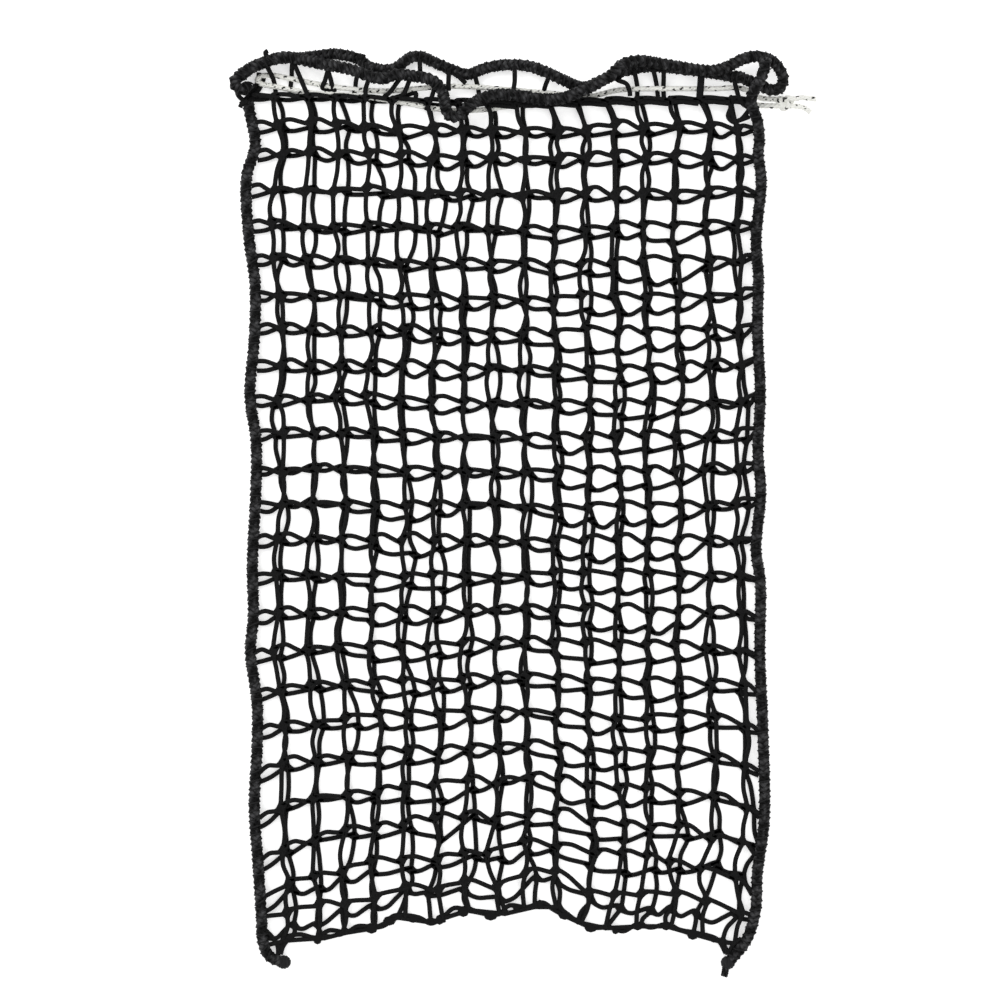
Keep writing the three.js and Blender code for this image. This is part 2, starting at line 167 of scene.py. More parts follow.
# Ties from the panels' top rows to the mouth rope: the places they pass, with their heights
TIES = [
    [(-278, 431, 8), (-270.5, 440, 4), (-265.5, 447.5, 3.1), (-262.5, 456, 3.1), (-262, 462, 3.1)],
    [(-273, 429, 10), (-266.5, 438, 4.5), (-261, 446, 3.1), (-257.5, 454, 3.1), (-257, 461, 3.1)],
    [(-284, 443, 15), (-283, 437, 13), (-276.5, 430.5, 12)],
    [(-250.5, 463, 17), (-247.5, 457, 12.6), (-246, 452.8, 7.5), (-245, 447, 3.1), (-244, 438, 3.1)],
    [(-226, 468, 17), (-227, 464, 9), (-227.5, 459, 3.3), (-228.5, 449, 3.1), (-229, 438, 3.1)],
    [(-223, 467, 17), (-219, 458, 13), (-214, 446, 12.6), (-209, 435, 12)],
    [(-189, 461, 17), (-192, 452, 12.4), (-195, 445.5, 8), (-190, 444.3, 4), (-181, 443, 8)],
    [(-188, 461, 17), (-185.5, 452, 12.4), (-184, 444, 6)],
    [(-158.5, 455, 16), (-160, 450.5, 7), (-160.5, 446.5, 3.2), (-163, 434, 3.1)],
    [(-147, 450, 16), (-149.5, 442, 12.6), (-148.5, 432, 12.4)],
    [(-116, 450, 16), (-124, 440, 12.4), (-130, 436, 8)],
    [(-104, 450, 16), (-110, 438, 11.6), (-118, 435.5, 7), (-104, 439, 4), (-97, 440, 8), (-97, 432, 12)],
    [(-77, 444, 16), (-81, 432, 12.8), (-86, 421, 12)],
    [(-92.5, 471, 12), (-92, 462, 17)],
    [(-62, 461, 12), (-62.5, 448, 12), (-62, 442, 13)],
    [(-51, 456, 12), (-44.5, 450, 9)],
    [(-34, 455, 12), (-31.5, 446, 3.2), (-30, 436, 3.1)],
    [(7, 463, 14), (7, 452, 12.8), (5.5, 441, 16)],
    [(42, 454, 15), (38.5, 445, 10), (37.5, 438, 3)],
    [(117, 450, 24), (124, 448, 18), (127.5, 441, 12.8), (128, 436, 12)],
    [(132.5, 460, 17), (135, 452, 7), (136, 447.5, 3.2), (136, 436, 3.1)],
    [(152.5, 461, 17), (155.5, 452, 7), (156.5, 447.5, 3.2), (158, 434, 3.1)],
    [(163, 460, 17), (163.5, 452, 7), (163.5, 447.5, 3.2), (164, 434, 3.1)],
    [(201, 456, 17), (200.5, 445, 12.8), (199.5, 433, 12.4)],
    [(203.5, 456, 17), (203, 445, 12.8), (202, 433, 12.4)],
    [(238, 448, 15), (240, 441, 12.6), (243, 432, 12)],
]
# Loose twine ends that stand out of the lacing
STUBS = [
    [(-251, 474, 22), (-253.5, 480, 23), (-251, 481.5, 23.5)],
    [(-157, 478, 15), (-152.5, 475.5, 17), (-151, 479, 18)],
    [(-273, 431, 13), (-279, 427.5, 13.5), (-281, 424, 13)],
]

# Small loops where the panels' top rows crowd against the right border rope
EDGE_LOOPS = [
    [(243, 434, 12), (246, 428, 12), (252.5, 423, 12), (249, 416.5, 12), (244, 411, 12)],
    [(233.6, 424, 12), (230.8, 414.5, 12), (236.3, 409, 12), (242, 410.5, 12), (253, 414.5, 11)],
]


class HayNetSizes(bpy.types.PropertyGroup):
    """Sizes and colours of the net"""

    twine: FloatProperty(
        name="Net Twine", description="Thickness of the net twine", default=0.005, unit="LENGTH"
    )
    rope: FloatProperty(
        name="Rope", description="Thickness of the border and mouth ropes", default=0.0132, unit="LENGTH"
    )
    cord: FloatProperty(
        name="Drawstring", description="Thickness of the drawstring", default=0.006, unit="LENGTH"
    )
    cord_length: FloatProperty(
        name="Drawstring Length", description="Length of the drawstring, end to end with both tails",
        default=1.18, unit="LENGTH",
    )
    columns: IntProperty(name="Meshes Across", description="Meshes across one panel", default=17, min=4)
    rows: IntProperty(name="Meshes Down", description="Meshes from the mouth to the fold", default=24, min=4)
    bow: FloatProperty(
        name="Bow", description="How far a strand across bows between two joins", default=0.0034,
        unit="LENGTH",
    )
    seed: IntProperty(name="Seed", description="Picks how the strands happen to lie", default=7, min=0)
    twine_colour: FloatVectorProperty(
        name="Twine Colour", description="Colour of the net twine", default=(0.0066, 0.0066, 0.0068),
        subtype="COLOR",
    )
    rope_colour: FloatVectorProperty(
        name="Rope Colour", description="Colour of the ropes", default=(0.0098, 0.0098, 0.0102),
        subtype="COLOR",
    )
    cord_colour: FloatVectorProperty(
        name="Drawstring Colour", description="Colour of the drawstring", default=(0.9, 0.9, 0.85),
        subtype="COLOR",
    )
    tracer_colour: FloatVectorProperty(
        name="Tracer Colour", description="Colour of the drawstring's flecks", default=(0.005, 0.005, 0.005),
        subtype="COLOR",
    )


def sizes():
    return bpy.context.scene.hay_net


# ---------------------------------------------------------------- paths


def in_metres(route):
    return [Vector(p) * MM for p in route]


def smooth_path(points, step):
    """Points about a step apart on a centripetal Catmull-Rom curve through a list of points"""
    first = points[0] * 2 - points[1]
    last = points[-1] * 2 - points[-2]
    padded = [first, *points, last]
    made = []
    for k in range(1, len(padded) - 2):
        made += catmull_rom(*padded[k - 1 : k + 3], step)
    made.append(points[-1].copy())
    return made


def catmull_rom(a, b, c, d, step):
    """The stretch from b up to c of a centripetal Catmull-Rom curve"""
    t1 = math.sqrt((b - a).length)
    t2 = t1 + math.sqrt((c - b).length)
    t3 = t2 + math.sqrt((d - c).length)
    count = max(2, round((c - b).length / step))
    stretch = []
    for n in range(count):
        t = t1 + (t2 - t1) * n / count
        ab = a.lerp(b, t / t1)
        bc = b.lerp(c, (t - t1) / (t2 - t1))
        cd = c.lerp(d, (t - t2) / (t3 - t2))
        abc = ab.lerp(bc, t / t2)
        bcd = bc.lerp(cd, (t - t1) / (t3 - t1))
        stretch.append(abc.lerp(bcd, (t - t1) / (t2 - t1)))
    return stretch


def along(route, read, write, value):
    """One coordinate of a route where another has a value, on straight lines between its points"""
    for a, b in zip(route, route[1:]):
        if (a[read] - value) * (b[read] - value) <= 0 and a[read] != b[read]:
            return a[write] + (value - a[read]) / (b[read] - a[read]) * (b[write] - a[write])
    nearest = min((route[0], route[-1]), key=lambda p: abs(p[read] - value))
    return nearest[write]


def smoothstep(low, high, value):
    share = min(max((value - low) / (high - low), 0.0), 1.0)
    return share * share * (3 - 2 * share)


# ---------------------------------------------------------------- Geometry Nodes


class Tree:
    """A Geometry Nodes tree with short ways to add and join its nodes"""

    def __init__(self, name):
        self.group = bpy.data.node_groups.new(name, "GeometryNodeTree")
        self.group.is_modifier = True
        self.add_socket("Geometry", "NodeSocketGeometry", "INPUT")
        self.add_socket("Geometry", "NodeSocketGeometry", "OUTPUT")
        self.inside = self.group.nodes.new("NodeGroupInput")
        self.outside = self.group.nodes.new("NodeGroupOutput")

    def add_socket(self, name, kind, way):
        return self.group.interface.new_socket(name=name, in_out=way, socket_type=kind)

    def value_input(self, name, kind="NodeSocketFloat"):
        self.add_socket(name, kind, "INPUT")
        return self.inside.outputs[name]

    def node(self, kind, inputs=None, **settings):
        made = self.group.nodes.new(kind)
        for key, value in settings.items():
            setattr(made, key, value)
        for key, value in (inputs or {}).items():
            self.feed(made.inputs[key], value)
        return made

    def feed(self, socket, value):
        if isinstance(value, bpy.types.NodeSocket):
            self.group.links.new(value, socket)
        else:
            socket.default_value = value

    def math(self, operation, a, b=0.0):
        return self.node("ShaderNodeMath", {0: a, 1: b}, operation=operation).outputs[0]

    def scaled(self, vector, scale):
        product = self.node("ShaderNodeVectorMath", {0: vector, "Scale": scale}, operation="SCALE")
        return product.outputs[0]

    def vector_math(self, operation, a, b):
        return self.node("ShaderNodeVectorMath", {0: a, 1: b}, operation=operation).outputs[0]

    def stored(self, geometry, name, value, kind="FLOAT"):
        made = self.node(
            "GeometryNodeStoreNamedAttribute", {"Geometry": geometry, "Name": name},
            data_type=kind, domain="POINT",
        )
        socket = next(s for s in made.inputs if s.name == "Value" and s.enabled)
        self.feed(socket, value)
        return made.outputs["Geometry"]

    def named(self, name, kind="FLOAT"):
        read = self.node("GeometryNodeInputNamedAttribute", {"Name": name}, data_type=kind)
        return read.outputs["Attribute"]

    def round_tube(self, curve, radius, sides):
        """A round tube on a curve that remembers how far along it and where round it each point is"""
        length = self.node("GeometryNodeSplineParameter").outputs["Length"]
        curve = self.stored(curve, "along", length)
        circle = self.node("GeometryNodeCurvePrimitiveCircle", {"Resolution": sides, "Radius": radius})
        rim = self.stored(
            circle.outputs["Curve"], "rim", self.node("GeometryNodeInputPosition").outputs[0], "FLOAT_VECTOR"
        )
        shape = {"Curve": curve, "Profile Curve": rim, "Fill Caps": True}
        return self.node("GeometryNodeCurveToMesh", shape).outputs["Mesh"]

    def finish(self, geometry, material):
        real = self.node("GeometryNodeRealizeInstances", {"Geometry": geometry})
        painted = self.node("GeometryNodeSetMaterial", {"Geometry": real.outputs[0], "Material": material})
        self.group.links.new(painted.outputs[0], self.outside.inputs["Geometry"])
        return self.group


def twine_tree():
    """Twine along every chain of edges, and a join swollen at every point marked as one"""
    tree = Tree("Net Twine")
    radius = tree.value_input("Twine Radius")
    sides = tree.value_input("Sides", "NodeSocketInt")
    material = tree.value_input("Material", "NodeSocketMaterial")
    strands = tree.node("GeometryNodeMeshToCurve", {"Mesh": tree.inside.outputs["Geometry"]}).outputs[0]
    widths = {"Curve": strands, "Radius": tree.named("swell")}
    tube = tree.round_tube(tree.node("GeometryNodeSetCurveRadius", widths).outputs[0], radius, sides)
    points = tree.node(
        "GeometryNodeMeshToPoints",
        {"Mesh": tree.inside.outputs["Geometry"], "Selection": tree.named("join", "BOOLEAN")},
    ).outputs[0]
    ball_shape = {"Radius": radius, "Segments": 8, "Rings": 5}
    ball = tree.node("GeometryNodeMeshUVSphere", ball_shape).outputs["Mesh"]
    joins = tree.node(
        "GeometryNodeInstanceOnPoints",
        {"Points": points, "Instance": ball, "Scale": tree.named("join_size", "FLOAT_VECTOR")},
    ).outputs[0]
    both = tree.node("GeometryNodeJoinGeometry")
    tree.group.links.new(joins, both.inputs[0])
    tree.group.links.new(tube, both.inputs[0])
    return tree.finish(both.outputs[0], material)


def braid_tree():
    """A braid round a core along a curve: strands wind both ways, over two and under two"""
    tree = Tree("Braid")
    outer = tree.value_input("Rope Radius")
    strand = tree.value_input("Strand Radius")
    lift = tree.value_input("Lift")
    lay = tree.value_input("Lay Length")
    step = tree.value_input("Step")
    each_way = tree.value_input("Strands Each Way", "NodeSocketInt")
    sides = tree.value_input("Sides", "NodeSocketInt")
    material = tree.value_input("Material", "NodeSocketMaterial")
    path = tree.node(
        "GeometryNodeResampleCurve", {"Curve": tree.inside.outputs["Geometry"], "Length": step},
        mode="LENGTH",
    ).outputs[0]
    middle = tree.math("SUBTRACT", tree.math("SUBTRACT", outer, strand), lift)
    core = tree.math("SUBTRACT", middle, tree.math("MULTIPLY", lift, 0.5))
    pieces = [tree.round_tube(path, core, sides)]
    for way in (1, -1):
        pieces.append(wound_strands(tree, path, way, middle, strand, lift, lay, each_way, sides))
    both = tree.node("GeometryNodeJoinGeometry")
    for piece in pieces:
        tree.group.links.new(piece, both.inputs[0])
    return tree.finish(both.outputs[0], material)


def wound_strands(tree, path, way, middle, strand, lift, lay, each_way, sides):
    """The strands of a braid that wind one way"""
    asked = {"Geometry": path, "Amount": each_way}
    copies = tree.node("GeometryNodeDuplicateElements", asked, domain="SPLINE")
    number = copies.outputs["Duplicate Index"]
    length = tree.node("GeometryNodeSplineParameter").outputs["Length"]
    turns = tree.math("DIVIDE", length, lay)
    share = tree.math("DIVIDE", number, each_way)
    wound = tree.math("ADD", tree.math("MULTIPLY", turns, float(way)), share)
    turn = tree.math("MULTIPLY", wound, 2 * math.pi)
    crossings = tree.math("MULTIPLY", tree.math("MULTIPLY", turns, each_way), 2.0 * way)
    beat = tree.math("ADD", crossings, tree.math("MULTIPLY", number, 2.0))
    wave = tree.math("COSINE", tree.math("SUBTRACT", tree.math("MULTIPLY", beat, math.pi / 2), math.pi / 4))
    reach = tree.math("ADD", middle, tree.math("MULTIPLY", tree.math("MULTIPLY", wave, lift), float(way)))
    normal = tree.node("GeometryNodeInputNormal").outputs[0]
    tangent = tree.node("GeometryNodeInputTangent").outputs[0]
    side = tree.vector_math("CROSS_PRODUCT", tangent, normal)
    out = tree.vector_math(
        "ADD", tree.scaled(normal, tree.math("COSINE", turn)), tree.scaled(side, tree.math("SINE", turn))
    )
    moved = {"Geometry": copies.outputs["Geometry"], "Offset": tree.scaled(out, reach)}
    placed = tree.node("GeometryNodeSetPosition", moved).outputs[0]
    crown = tree.math("MULTIPLY", wave, float(way))
    raised = tree.stored(placed, "crown", crown)
    shown = tree.math("GREATER_THAN", crown, TRACER_SHOWS_ABOVE)
    first = tree.math("LESS_THAN", number, 0.5)
    marked = tree.stored(raised, "tracer", tree.math("MULTIPLY", shown, first))
    return tree.round_tube(marked, strand, sides)


def set_input(modifier, name, value):
    for item in modifier.node_group.interface.items_tree:
        if item.item_type == "SOCKET" and item.in_out == "INPUT" and item.name == name:
            modifier[item.identifier] = value
            return
    raise ValueError(f"the tree has no input {name}")


def made_by(tree, source, name, inputs):
    """A plain mesh object made by a tree from a source object, which is removed"""
    modifier = source.modifiers.new("tree", "NODES")
    modifier.node_group = tree
    for key, value in inputs.items():
        set_input(modifier, key, value)
    bpy.context.collection.objects.link(source)
    graph = bpy.context.evaluated_depsgraph_get()
    graph.update()
    mesh = bpy.data.meshes.new_from_object(source.evaluated_get(graph))
    mesh.name = name
    bpy.data.objects.remove(source)
    if not mesh.polygons:
        raise RuntimeError(f"{name} came out empty")
    mesh.shade_smooth()
    piece = bpy.data.objects.new(name, mesh)
    bpy.context.collection.objects.link(piece)
    return piece


def curve_object(paths):
    """An unlinked curve object with one straight-jointed spline for each path"""
    curve = bpy.data.curves.new("path", "CURVE")
    curve.dimensions = "3D"
    for path in paths:
        spline = curve.splines.new("POLY")
        spline.points.add(len(path) - 1)
        for point, place in zip(spline.points, path):
            point.co = (*place, 1.0)
    return bpy.data.objects.new("path", curve)


# ---------------------------------------------------------------- materials


class Paint:
    """A material's nodes, with short ways to add and join them"""

    def __init__(self, name, roughness, specular=0.4):
        self.material = bpy.data.materials.new(name)
        self.material.use_nodes = True
        self.tree = self.material.node_tree
        self.shader = self.tree.nodes["Principled BSDF"]
        self.shader.inputs["Roughness"].default_value = roughness
        self.shader.inputs["Specular IOR Level"].default_value = specular

    def node(self, kind, inputs=None, **settings):
        made = self.tree.nodes.new(kind)
        for key, value in settings.items():
            setattr(made, key, value)
        for key, value in (inputs or {}).items():
            self.feed(made.inputs[key], value)
        return made

    def feed(self, socket, value):
        if isinstance(value, bpy.types.NodeSocket):
            self.tree.links.new(value, socket)
        else:
            socket.default_value = value

    def math(self, operation, a, b=0.0):
        return self.node("ShaderNodeMath", {0: a, 1: b}, operation=operation).outputs[0]

    def attribute(self, name, output="Fac"):
        return self.node("ShaderNodeAttribute", attribute_name=name).outputs[output]

    def straightened(self):
        """Places on a strand as if it lay straight: across it, and along it"""
        rim = self.node("ShaderNodeSeparateXYZ", {0: self.attribute("rim", "Vector")})
        joined = self.node(
            "ShaderNodeCombineXYZ", {0: rim.outputs[0], 1: rim.outputs[1], 2: self.attribute("along")}
        )
        return joined.outputs[0], rim

    def noise(self, vector, scale, detail=3.0):
        found = self.node("ShaderNodeTexNoise", {"Vector": vector, "Scale": scale, "Detail": detail})
        return found.outputs["Fac"]

    def mix(self, share, a, b):
        made = self.node("ShaderNodeMix", {0: share}, data_type="RGBA")
        self.feed(made.inputs[6], a)
        self.feed(made.inputs[7], b)
        return made.outputs[2]

    def bump(self, height, strength, distance):
        bumped = self.node("ShaderNodeBump", {"Height": height, "Strength": strength, "Distance": distance})
        self.tree.links.new(bumped.outputs[0], self.shader.inputs["Normal"])

    def colour(self, value):
        self.feed(self.shader.inputs["Base Color"], value)


def shade(colour, times):
    return (*(min(c * times, 1.0) for c in colour), 1.0)


def fibres(paint, place):
    """Fine streaks that run along a strand"""
    stretched = paint.node("ShaderNodeMapping", {"Vector": place, "Scale": (1.0, 1.0, 0.12)}).outputs[0]
    return paint.noise(stretched, 2600.0, 4.0)


def braided_twine():
    """Black twine: a fine flat braid with short fibres raised from it, and a painted highlight on the
    braid's raised parts
    """
    paint = Paint("black_braided_twine", 0.9, 0.12)
    place, rim = paint.straightened()
    turn = paint.math("ARCTAN2", rim.outputs[1], rim.outputs[0])
    travel = paint.math("MULTIPLY", paint.attribute("along"), 2 * math.pi / TWINE_BRAID_LENGTH)
    one_way = paint.math("SINE", paint.math("ADD", paint.math("MULTIPLY", turn, 3.0), travel))
    other_way = paint.math("SINE", paint.math("SUBTRACT", paint.math("MULTIPLY", turn, 3.0), travel))
    braid = paint.math("MAXIMUM", one_way, other_way)
    streaks = fibres(paint, place)
    height = paint.math("ADD", paint.math("MULTIPLY", braid, 0.6), streaks)
    paint.bump(height, 0.7, 0.0006)
    # Painted highlight: the raised parts of the braid are painted lighter; the fibre streaks are the twine's
    # own varied tone
    light = paint.math("MULTIPLY", streaks, paint.math("ADD", paint.math("MULTIPLY", braid, 0.4), 0.7))
    colour = sizes().twine_colour
    paint.colour(paint.mix(light, shade(colour, 0.6), shade(colour, 2.2)))
    return paint.material


def braided_rope():
    """Charcoal rope yarn with a painted sheen and painted glints on the tops of its strands, and painted
    shade under them
    """
    paint = Paint("charcoal_rope", 0.7, 0.14)
    place, _ = paint.straightened()
    streaks = fibres(paint, place)
    patches = paint.noise(paint.node("ShaderNodeTexCoord").outputs["Object"], 55.0)
    paint.bump(streaks, 0.8, 0.0007)
    # Painted glints: bright fibre streaks and patches, partly the yarn's own mottled tone and partly painted
    # highlight
    glints_and_mottle = paint.math("MULTIPLY", paint.math("POWER", streaks, 1.8), paint.math("ADD", patches, 1.2))
    # Painted sheen and shade: the tops of the strands are painted lighter and the parts under them darker
    crown = paint.math("ADD", paint.math("MULTIPLY", paint.attribute("crown"), 0.6), 0.4)
    light = paint.math("MULTIPLY", glints_and_mottle, paint.math("POWER", paint.math("MAXIMUM", crown, 0.0), 1.5))
    colour = sizes().rope_colour
    paint.colour(paint.mix(light, shade(colour, 0.3), shade(colour, 11.0)))
    return paint.material


def tracer_cord():
    """White drawstring yarn with black tracer strands"""
    paint = Paint("white_tracer_cord", 0.6, 0.4)
    place, _ = paint.straightened()
    streaks = fibres(paint, place)
    paint.bump(streaks, 0.5, 0.0003)
    group = sizes()
    white = paint.mix(streaks, shade(group.cord_colour, 0.78), shade(group.cord_colour, 1.12))
    paint.colour(paint.mix(paint.attribute("tracer"), white, shade(group.tracer_colour, 1.0)))
    return paint.material


def pale_floor():
    """White floor, lit a little from itself so that shadows stay soft"""
    paint = Paint("pale_floor", 0.9, 0.2)
    paint.colour((0.93, 0.93, 0.93, 1.0))
    paint.shader.inputs["Emission Color"].default_value = (1.0, 1.0, 1.0, 1.0)
    paint.shader.inputs["Emission Strength"].default_value = 0.5
    return paint.material


def shared(name, make):
    return bpy.data.materials.get(name) or make()


# ---------------------------------------------------------------- the net


class Panel:
    """Where the strands of one panel lie. The back one lies lower, and a little aside of the front one."""

    def __init__(self, front):
        self.front = front
        self.columns = sizes().columns
        self.rows = sizes().rows
        self.luck = random.Random(sizes().seed + (0 if front else 50))
        self.seed = 3.1 if front else 9.7
        self.joins = {}
        for i in range(self.columns + 1):
            for k in range(self.rows + 1):
                self.joins[i, k] = self.join(i, k)

    def wander(self, x, y, wavelength, kind):
        """A smooth wandering value from about -1 to 1"""
        return 1.6 * noise.noise((x / wavelength, y / wavelength, self.seed + 13.0 * kind))

    def share_down(self, k):
        """How far down the panel a row is: the top two rows are pulled up short"""
        short = [0.0, 0.034, 0.070]
        if k < len(short):
            return short[k]
        return short[-1] + (1 - short[-1]) * (k - 2) / (self.rows - 2)

    def join(self, i, k):
        """Where a strand across meets a strand down, in millimetres"""
        across = LEFT_EDGE + PANEL_WIDTH * i / self.columns
        share = self.share_down(k)
        fold = along(FOLD_TWINE, 0, 1, min(max(across, FOLD_FROM), FOLD_TO))
        top = along(TOP_EDGE, 0, 1, across)
        y = top + (EVEN_BOTTOM - top) * share + (fold - EVEN_BOTTOM) * share**5
        y -= self.corner_sag(i / self.columns, share)
        if i == self.columns:
            y += 8 * smoothstep(-80, 20, y) * (1 - smoothstep(260, 330, y))
        left = along(LEFT_ROPE, 1, 0, y)
        right = along(RIGHT_ROPE, 1, 0, y)
        if i == 0:
            x = left + INTO_ROPE
        elif i == self.columns:
            x = right - INTO_ROPE
        else:
            room = right - RIGHT_MARGIN - left - LEFT_MARGIN
            x = left + LEFT_MARGIN + room * (i - 1) / (self.columns - 2)
        edge = i in (0, self.columns)
        loose = (0.25 if edge else 1.0) * (1 + 0.9 * smoothstep(0.8, 0.93, share))
        loose *= 1.0 if self.front else 1.3
        if 0 < k < self.rows:
            y += loose * (2.8 * self.wander(x, y, 80, 1) + self.luck.uniform(-2.6, 2.6))
        if not edge:
            x += loose * (4.2 * self.wander(x, y, 100, 2) + self.luck.uniform(-2.3, 2.3))
        if not self.front:
            dx, dy = self.back_shift(x, y)
            fade = min(1.0, (self.rows - k) / 2.0) * (0.35 if k == 0 else 1.0)
            x += dx * (0.0 if edge else 1.0) * (0.4 + 0.6 * fade)
            low = smoothstep(0.84, 0.95, share) * (1 - smoothstep(15, 50, x))
            dy = dy * (1 - low) - FOLD_BACK_DROP * low
            kept = (fade if k == 0 else 1.0) * (0.0 if k == self.rows else 1.0)
            y += (dy - (3.5 if edge else 0.0)) * kept
        return Vector((x, y, self.height(i, k, y)))

    def corner_sag(self, u, share):
        """The lower rows droop towards both border ropes"""
        near = math.exp(-u * 7) + 0.75 * math.exp(-(1 - u) * 7)
        steep = 14.0 * smoothstep(0.5, 0.75, share) + 24.0 * smoothstep(0.72, 0.88, share)
        return steep * near * (1 - 0.85 * smoothstep(0.9, 1.0, share))

    def back_shift(self, x, y):
        """How far the back panel lies from the front one here"""
        low = 1 - smoothstep(-10, 60, y)
        middle_left = smoothstep(-185, -150, x) * (1 - smoothstep(-55, -35, x))
        right = smoothstep(15, 50, x) * (1 - smoothstep(185, 215, x)) * (1 - smoothstep(270, 330, y))
        dy = -2.5 - middle_left * (2 + 8 * low) - 12.5 * right + 1.5 * self.wander(x, y, 70, 3)
        slipped = (1 - smoothstep(-20, 60, x)) * math.exp(-(((y - 320) / 34) ** 2))
        drawn_aside = math.exp(-(((x + 110) / 60) ** 2))
        low_left = math.exp(-(((x + 185) / 55) ** 2)) * (1 - smoothstep(-130, -70, y))
        dx = 3.0 + 14.0 * slipped + 2.6 * drawn_aside + 5.0 * low_left + 2.8 * self.wander(x, y, 60, 4)
        return dx, dy

    def height(self, i, k, y):
        """How high the middle of the twine lies: over or under the drawstring, and up to the ropes"""
        twine = sizes().twine / MM
        z = 1.5 * twine + 0.1 if self.front else 0.5 * twine
        if self.front:
            z += (BAND_TOP_Z / MM - z) * smoothstep(350, 400, y)
        if k == self.rows:
            z = twine + 0.1
        if i in (0, self.columns):
            z = 0.5 * (z + FLOOR_ROPE_Z)
        return z

    def strand_down(self, i):
        """One strand from the mouth to the fold, through its joins"""
        points = []
        for k in range(self.rows):
            a, b = self.joins[i, k], self.joins[i, k + 1]
            side = self.luck.uniform(-3.6, 3.6)
            points.append(a)
            points.append(a.lerp(b, self.luck.uniform(0.4, 0.6)) + Vector((side, 0, 0)))
        points.append(self.joins[i, self.rows])
        return points

    def corner(self, centre, side, end):
        """A short strand of a join, that turns from a strand across into a strand down"""
        middle = centre.lerp(side.lerp(end, 0.5), self.luck.uniform(0.45, 0.62))
        early, late = side.lerp(middle, 0.55), middle.lerp(end, 0.45)
        return [side, early, late, end], [0.45, 0.62, 0.62, 0.45]

    def strand_across(self, i, k):
        """One side of a mesh: it leaves the left join on one side and reaches the right one on the other"""
        a, b = self.joins[i, k], self.joins[i + 1, k]
        up = 1 if self.front else -1
        if k == self.rows:
            return [a, a.lerp(b, 0.3), a.lerp(b, 0.7), b]
        mood = 0.75 + 0.6 * self.wander(0.0, 37.0 * k, 50, 6) + 0.75 * self.wander(a.x, a.y, 75, 5)
        loose = max(0.1, mood) * self.luck.uniform(0.6, 1.5)
        room = min(1.0, (b - a).length / 30)
        step = 2.3 * up * room
        if k == 0:
            loose, step = 0.3 * loose, 0.4 * step
        bow = sizes().bow / MM * up * loose * room
        points = []
        for share, part in ((0.0, 0.0), (0.14, 0.55), (0.38, 1.0), (0.66, 0.45), (0.88, 0.0), (1.0, 0.0)):
            drop = step * (1 - 2 * share)
            points.append(a.lerp(b, share) + Vector((0, drop + bow * part, 0)))
        return points


def strand_mesh(chains, joins=()):
    """An unlinked mesh with a chain of edges for each strand and a loose point for each join"""
    places, edges, swell = [], [], []
    for path, widths in chains:
        start = len(places)
        places += path
        swell += widths
        edges += [(n, n + 1) for n in range(start, len(places) - 1)]
    strand_points = len(places)
    places += [place for place, _ in joins]
    mesh = bpy.data.meshes.new("strands")
    mesh.from_pydata(places, edges, [])
    radii = mesh.attributes.new("swell", "FLOAT", "POINT")
    radii.data.foreach_set("value", swell + [1.0] * len(joins))
    marks = mesh.attributes.new("join", "BOOLEAN", "POINT")
    marks.data.foreach_set("value", [False] * strand_points + [True] * len(joins))
    shapes = mesh.attributes.new("join_size", "FLOAT_VECTOR", "POINT")
    flat = [1.0] * (3 * strand_points)
    for _, size in joins:
        flat += size
    shapes.data.foreach_set("vector", flat)
    return bpy.data.objects.new("strands", mesh)


def knobbly(path, luck):
    """A path with the small swellings of a braid along it"""
    return path, [1.0 + (0.06 if n % 2 else -0.06) + luck.uniform(-0.03, 0.03) for n in range(len(path))]


def net_strands(panel):
    """The long strands of a panel, the short ones of its joins, and the joins themselves"""
    strands, corners, joins = [], [], []
    rows = range(panel.rows + (0 if panel.front else 1))
    reach = 3 if panel.front else 2
    ways = {join: [[], []] for join in panel.joins}
    for i in range(1, panel.columns):
        path = smooth_path([p * MM for p in panel.strand_down(i)], STRAND_STEP)
        strands.append(knobbly(path, panel.luck))
        for k in range(panel.rows + 1):
            centre = panel.joins[i, k] * MM
            here = min(range(len(path)), key=lambda n: (path[n] - centre).length_squared)
            ways[i, k][0] = [path[n] for n in (here - reach, here + reach) if 0 <= n < len(path)]
    for k in rows:
        for i in range(panel.columns):
            points = [p * MM for p in panel.strand_across(i, k)]
            path = smooth_path(points, STRAND_STEP)
            strands.append(knobbly(path, panel.luck))
            ways[i, k][1].append(path[min(3, len(path) - 1)])
            ways[i + 1, k][1].append(path[max(-4, -len(path))])
            if k == 0 and panel.front and i > DOUBLED_FROM:
                lower = [p + Vector((0, -0.0042, -0.001)) for p in points]
                strands.append(knobbly(smooth_path(lower, STRAND_STEP), panel.luck))
    for (i, k), (ends_down, ends_across) in ways.items():
        if not 0 < i < panel.columns or k not in rows:
            continue
        centre = panel.joins[i, k] * MM
        joins.append((centre, (1.2, panel.luck.uniform(1.3, 1.7) if panel.front else 1.1, 0.95)))
        corners += [panel.corner(centre, a, b) for a in ends_across for b in ends_down]
    return strands, corners, joins


def twine_piece(name, paths, sides=8, scale=1.0):
    """Loose twine along some paths, as one piece"""
    luck = random.Random(sizes().seed + len(paths))
    return twine_along(name, [knobbly(path, luck) for path in paths], (), sides, scale)


def twine_along(name, chains, joins=(), sides=8, scale=1.0):
    inputs = {
        "Twine Radius": sizes().twine / 2 * scale,
        "Sides": sides,
        "Material": shared("black_braided_twine", braided_twine),
    }
    tree = bpy.data.node_groups.get("Net Twine") or twine_tree()
    return made_by(tree, strand_mesh(chains, joins), name, inputs)


def braid_piece(name, paths, radius, strand, lift, lay, step, material, each_way=8, sides=5):
    """A braided rope or cord along some paths, as one piece"""
    inputs = {
        "Rope Radius": radius,
        "Strand Radius": strand,
        "Lift": lift,
        "Lay Length": lay,
        "Step": step,
        "Strands Each Way": each_way,
        "Sides": sides,
        "Material": material,
    }
    tree = bpy.data.node_groups.get("Braid") or braid_tree()
    return made_by(tree, curve_object(paths), name, inputs)


